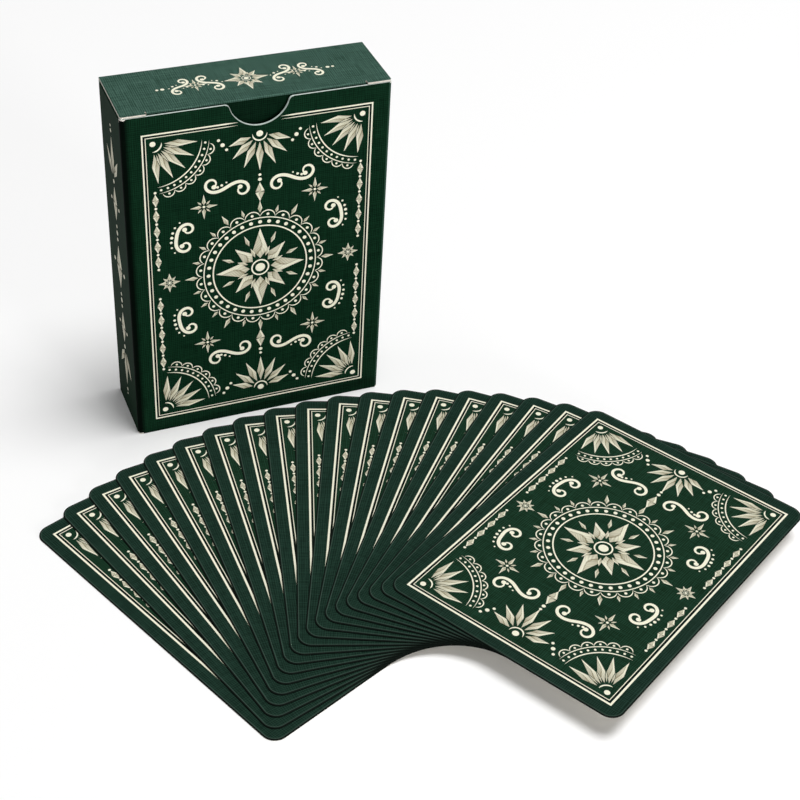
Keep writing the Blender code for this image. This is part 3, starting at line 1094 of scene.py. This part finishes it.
def spark(at, radius):
    """A four-pointed star with short rays between its points."""
    made = rays(at, 0.16 * radius, 0.84 * radius, 0.3 * radius, [0, 90, 180, 270], 0.22)
    made += rays(at, 0.24 * radius, 0.4 * radius, 0.16 * radius, [45, 135, 225, 315], 0.4)
    return made + [bead(at, 0.1 * radius)]


def lozenge(at, tall, wide):
    """Two compass rays that meet foot to foot."""
    return [ray(at, 90, tall, wide, 0.06), ray(at, 270, tall, wide, 0.06)]


print("ridges of a star:", len(star((0, 0), 1.0)))

# %% Scrolls and pearls
CURL = 1.9


def flourish(at, angle, length, turn, same_side, width, steps=52):
    """A scroll with a curl at both ends: the heading turns with a power of the distance from the middle."""
    along = np.linspace(-1, 1, steps + 1)
    centre = (along[1:] + along[:-1]) / 2
    bend = np.abs(centre) ** CURL
    bend = np.sign(centre) * bend if same_side else bend
    heading = np.radians(angle + turn * bend)
    run = np.stack([np.cos(heading), np.sin(heading)], axis=1) * length / steps
    mid = np.vstack([[0, 0], np.cumsum(run, axis=0)])
    mid += np.array(at) - mid[steps // 2]
    half = width / 2 * (1 - 0.62 * along**2)
    return [(mid, half, False, PLAIN), bead(mid[0], 0.66 * width, 10), bead(mid[-1], 0.66 * width, 10)]


def followers(line, start, end, count, offset, size):
    """Pearls that follow a line at a distance to its left, largest in the middle of the row."""
    mid = line[0]
    spots = (np.linspace(start, end, count) * (len(mid) - 1)).round().astype(int)
    beside = mid[spots] + side_steps(mid)[spots] * offset
    swell = 1 - 0.45 * np.abs(np.linspace(-1, 1, count))
    return [bead(spot, size * share) for spot, share in zip(beside, swell)]


def scallops(at, radius, start, end, count, width):
    """Half circles side by side on a ring, each with a pearl in it."""
    step = (end - start) / count
    reach = radius * math.sin(math.radians(step / 2))
    middles = start + step * (np.arange(count) + 0.5)
    inner = radius * math.cos(math.radians(step / 2))
    feet = arc(at, inner, middles[0], middles[-1], count - 1)
    made = [bow(foot, reach, turn - 88, turn + 88, width, 10) for foot, turn in zip(feet, middles)]
    return made + beads_on(at, radius + 0.36 * reach, middles[0], middles[-1], count, 0.2 * reach)


def pearls(at, angle, spacing, sizes):
    """Pearls in a row from a point, each with its own size."""
    way = np.array([math.cos(math.radians(angle)), math.sin(math.radians(angle))])
    return [bead(np.array(at) + way * spacing * number, size) for number, size in enumerate(sizes)]


print("ridges of a scroll:", len(flourish((0, 0), 0, 1.0, 360, False, 0.1)))

# %% Frames
CARD_LINES = ((0.0, 0.54, PLAIN), (0.53, 0.4, DARK), (0.92, 0.2, PLAIN))
FRAME_TAPER = 3


def double_frame(half_x, half_y, lines):
    """A wide line and a thin one, with dark ink between them."""
    made = []
    for inset, width, kind in lines:
        x, y = half_x - inset, half_y - inset
        made.append(([(x, -y), (x, y), (-x, y), (-x, -y)], width / 2, True, kind))
    return made


def parted_frame(half_x, half_y, gap, lines):
    """The double frame with a gap in its top line, where the lines run out to points."""
    made = []
    for inset, width, kind in lines:
        x, y = half_x - inset, half_y - inset
        end = gap + FRAME_TAPER
        mid = [(gap, y), (end, y), (x, y), (x, -y), (-x, -y), (-x, y), (-end, y), (-gap, y)]
        half = np.array([0, 1, 1, 1, 1, 1, 1, 0]) * width / 2
        made.append((mid, half, False, kind))
    return made


print("ridges of a frame:", len(double_frame(1.0, 1.0, CARD_LINES)))

# %% The panel
STAR_REACH = 11.6
RING_IN = 12.3
RING_OUT = 14.7
CROWN_DROP = 1.6
CROWN_RAYS = ((24.5, 7.4), (49, 6.8), (73, 5.8))
BORDER_IN = 0.35
BORDER_STEP = 4.4


def sun_corner(at, size):
    """A quarter sun that faces down and left: five rays, thin ones between them, and bows with pearls."""
    made = rays(at, 0.25 * size, 0.72 * size, 0.17 * size, [185, 205, 225, 245, 265], 0.42)
    made += rays(at, 0.27 * size, 0.3 * size, 0.045 * size, [195, 215, 235, 255], 0.4)
    made += [bow(at, 0.19 * size, 176, 274, 0.035 * size), bead(at, 0.065 * size, 10)]
    made += [bow(at, 1.06 * size, 183, 267, 0.03 * size), bow(at, 1.22 * size, 184, 266, 0.024 * size)]
    made += beads_on(at, 1.14 * size, 187, 263, 11, 0.028 * size)
    made += scallops(at, 1.235 * size, 188, 262, 6, 0.026 * size)
    return made


def panel_shapes(a, b):
    """The ornament of a tall panel whose inner half sizes are a and b."""
    border = a - BORDER_IN
    crown = (0, b - CROWN_DROP)
    shapes = star((0, 0), STAR_REACH)
    shapes += [ring((0, 0), RING_IN, 0.38, 64), ring((0, 0), RING_OUT, 0.3, 64)]
    shapes += beads_on((0, 0), (RING_IN + RING_OUT) / 2, 0, 350, 36, 0.52)
    shapes += scallops((0, 0), RING_OUT + 0.2, 0, 360, 24, 0.3)
    shapes += rays((0, 0), 16.2, 3.4, 1.25, [0, 60, 90, 120, 180, 240, 270, 300], 0.35)
    shapes += rays((0, 0), 16.0, 2.2, 0.9, [*range(15, 360, 30), 30, 150, 210, 330], 0.35)
    quarter = sun_corner((a - 0.3, b - 0.3), 11.2)
    quarter += rays((0, 0), 7.4, 3.4, 1.1, [22.5, 67.5], 0.35)
    upper = flourish((8.3, 25.0), 152, 24, 360, False, 0.95)
    lower = flourish((21.3, 12.8), 100, 21, 360, True, 0.95)
    quarter += upper + followers(upper[0], 0.34, 0.52, 4, -1.2, 0.42)
    quarter += lower + followers(lower[0], 0.32, 0.68, 7, -1.2, 0.42)
    quarter += spark((14.2, 20.4), 3.5)
    quarter += pearls((10.2, b - 1.9), 235, 1.7, [0.4, 0.55, 0.4])
    for height in np.arange(1.5 * BORDER_STEP, b - 14.5, BORDER_STEP):
        quarter += lozenge((border, height), 1.75, 1.7) + [bead((border, height + BORDER_STEP / 2), 0.36)]
    shapes += mirrored(quarter)
    head = []
    for turn, reach in CROWN_RAYS:
        head += rays(crown, 2.3, reach, 2.0, [270 - turn, 270 + turn], 0.4)
    head += rays(crown, 2.3, 7.8, 2.0, [270], 0.4)
    head += [bow(crown, 1.8, 176, 364, 0.4), bead(crown, 0.85, 12)]
    head += lozenge((0, 22.2), 2.7, 2.4) + pearls((0, 25.7), 90, 1.3, [0.5, 0.38])
    shapes += mirrored(head, across_x=False)
    side = star((a - 2.9, 0), 2.8) + [bead((border, BORDER_STEP), 0.36), bead((border, -BORDER_STEP), 0.36)]
    shapes += mirrored(side, across_y=False)
    return shapes


FRAME_INSET = 2.2
card_panel = panel_shapes(CARD_FRAME_X - FRAME_INSET, CARD_FRAME_Y - FRAME_INSET)
print("ridges of a card's panel:", len(card_panel))

# %% [markdown]
# ## The prints of the cards
#
# All nineteen fanned cards share one print, worked out once and laid on each card's own place. Of the cards
# in the case only the front one shows its back, so the others behind it go without.

# %% Card print
card_print = design(double_frame(CARD_FRAME_X, CARD_FRAME_Y, CARD_LINES) + card_panel)
for node in fan_nodes:
    add_print(f"{node}_print", card_print, places[node], CARD_THICK, body_with(node))
add_print("front_boxed_card_print", card_print, places[boxed_nodes[-1]], CARD_THICK, "case")
print("card print, faces:", len(card_print[1]))

# %% [markdown]
# ## The prints of the case
#
# Front and back carry the same panel as the cards, a little taller. The narrow sides carry a column of
# lozenges, pearls and rays, and the lid a star between scrolls.

# %% Case prints
CASE_LINES = ((0.0, 0.4, PLAIN), (0.44, 0.34, DARK), (0.8, 0.2, PLAIN))
PANEL_FRAME_X = 28.6
PANEL_FRAME_LOW = 4.2
PANEL_FRAME_HIGH = 88.5
NOTCH_GAP = 5.2
panel_middle = (PANEL_FRAME_LOW + PANEL_FRAME_HIGH) / 2
panel_half = (PANEL_FRAME_HIGH - PANEL_FRAME_LOW) / 2


def column_shapes():
    """The ornament of a narrow side: a slender column of lozenges, pearls and rays."""
    shapes = lozenge((0, 0), 6.4, 5.0) + [bead((4.6, 0), 0.6), bead((-4.6, 0), 0.6)]
    half = pearls((0, 8.2), 90, 1.9, [0.5, 0.7, 0.5]) + lozenge((0, 18.6), 4.8, 3.8)
    half += [bead((3.5, 18.6), 0.5), bead((-3.5, 18.6), 0.5), bead((0, 24.9), 0.6)]
    half += rays((0, 25.2), 1.6, 7.4, 2.6, [56, 124], 0.4) + rays((0, 25.2), 1.6, 10.6, 3.0, [90], 0.4)
    half += pearls((0, 38.9), 90, 1.4, [0.5, 0.36])
    return shapes + mirrored(half, across_x=False)


def row_shapes():
    """The ornament of the lid: a star between scrolls, with sparks and pearls to the ends."""
    first = flourish((8.9, 0.2), 18, 17.6, 360, False, 0.8)
    second = flourish((16.3, 0.2), -18, 16.0, -360, False, 0.75)
    half = first + second + spark((12.6, 0), 2.9) + pearls((20.6, 0), 0, 1.3, [0.5, 0.38])
    for line, offset, size in ((first[0], 1.1, 0.34), (second[0], -1.1, 0.32)):
        half += followers(line, 0.36, 0.48, 3, offset, size) + followers(line, 0.52, 0.64, 3, -offset, size)
    return star((0, 0), 5.6) + mirrored(half, across_y=False)


panel = panel_shapes(PANEL_FRAME_X - FRAME_INSET, panel_half - FRAME_INSET)
front_print = design(parted_frame(PANEL_FRAME_X, panel_half, NOTCH_GAP, CASE_LINES) + panel)
rear_print = design(double_frame(PANEL_FRAME_X, panel_half, CASE_LINES) + panel)
side_print = design(column_shapes())
row_print = design(row_shapes())
case_prints = (
    ("front_print", front_print, (0, -OUTER_Y, panel_middle), (1, 0, 0), (0, 0, 1), "case"),
    ("rear_print", rear_print, (0, OUTER_Y, panel_middle), (-1, 0, 0), (0, 0, 1), "case"),
    ("left_print", side_print, (-OUTER_X, 0, panel_middle), (0, -1, 0), (0, 0, 1), "case"),
    ("right_print", side_print, (OUTER_X, 0, panel_middle), (0, 1, 0), (0, 0, 1), "case"),
    ("row_print", row_print, (0, 0, LID_TOP), (1, 0, 0), (0, 1, 0), "lid"),
)
for name, drawn, at, u, v, body in case_prints:
    add_print(name, drawn, Place(np.array(at) * MM, u, v), 0, body)
print("case print, faces:", len(front_print[1]), len(side_print[1]), len(row_print[1]))

# %% [markdown]
# ## The floor and the light
#
# One soft light hangs above, a little to the right. A small low one stands in front: it lights the upright
# case and hardly the table. An even room fills the shadows. The table adds a little light of its own for
# the camera and for reflections, so that it is paper white and still holds the soft shadows.

# %% Floor and light
FLOOR_HALF = 3.0
FLOOR_DROP = 0.00005
TABLE_LIFT = 0.04
ROOM_LEVEL = 0.165
LIT_POINT = (0, -0.05, 0.03)
KEY_AT = (0.48, -0.27, 2.55)
KEY_SIZE = 1.25
KEY_WATTS = 58.0
FILL_AT = (0.7, -2.1, 0.22)
FILL_SIZE = 0.4
FILL_WATTS = 23.0


def add_floor():
    """A wide white table, a hair under the part."""
    finish = Finish("white_table", Roughness=0.9)
    seen = finish.node("ShaderNodeLightPath", {}, {})
    seen = seen.most(seen.other("Is Glossy Ray")).most(seen.other("Is Transmission Ray"))
    finish.set(Base_Color=colour("fcfcfc"), Emission_Strength=1.0)
    finish.set(Emission_Color=finish.tint(seen, (0, 0, 0, 1), (TABLE_LIFT, TABLE_LIFT, TABLE_LIFT, 1)))
    half, down = FLOOR_HALF, -FLOOR_DROP
    corners = np.array([[-half, -half, down], [half, -half, down], [half, half, down], [-half, half, down]])
    floor = add_piece("table", corners, [[0, 1, 2, 3]], [finish.material], [0], {"panel": corners[:, :2]})


def add_light(name, at, size, power):
    """A square soft light of this size in metres and power in watts, turned towards the lit point."""
    data = bpy.data.lights.new(name, "AREA")
    data.size = size
    data.energy = power
    light = bpy.data.objects.new(name, data)
    light.location = at
    light.rotation_euler = (Vector(LIT_POINT) - Vector(at)).to_track_quat("-Z", "Y").to_euler()
    bpy.context.scene.collection.objects.link(light)


def add_room(grey):
    """An even room of this grey all round."""
    world = bpy.data.worlds.new("room")
    world.use_nodes = True
    world.node_tree.nodes["Background"].inputs["Color"].default_value = (grey, grey, grey, 1)
    bpy.context.scene.world = world


add_floor()
add_light("key", KEY_AT, KEY_SIZE, KEY_WATTS)
add_light("fill", FILL_AT, FILL_SIZE, FILL_WATTS)
add_room(ROOM_LEVEL)
bpy.context.scene.view_settings.view_transform = "Standard"
print("lights:", [light.name for light in bpy.data.lights])

# %% [markdown]
# ## Last things
#
# The bottom panel and its flaps are plain sheets already, so their CAD shapes stay and only take a finish.

# %% Finish
for node, obj in frame["nodes"].items():
    if not obj.hide_render:
        obj.data.materials.clear()
        obj.data.materials.append(underside)
        print("CAD shape kept:", node)
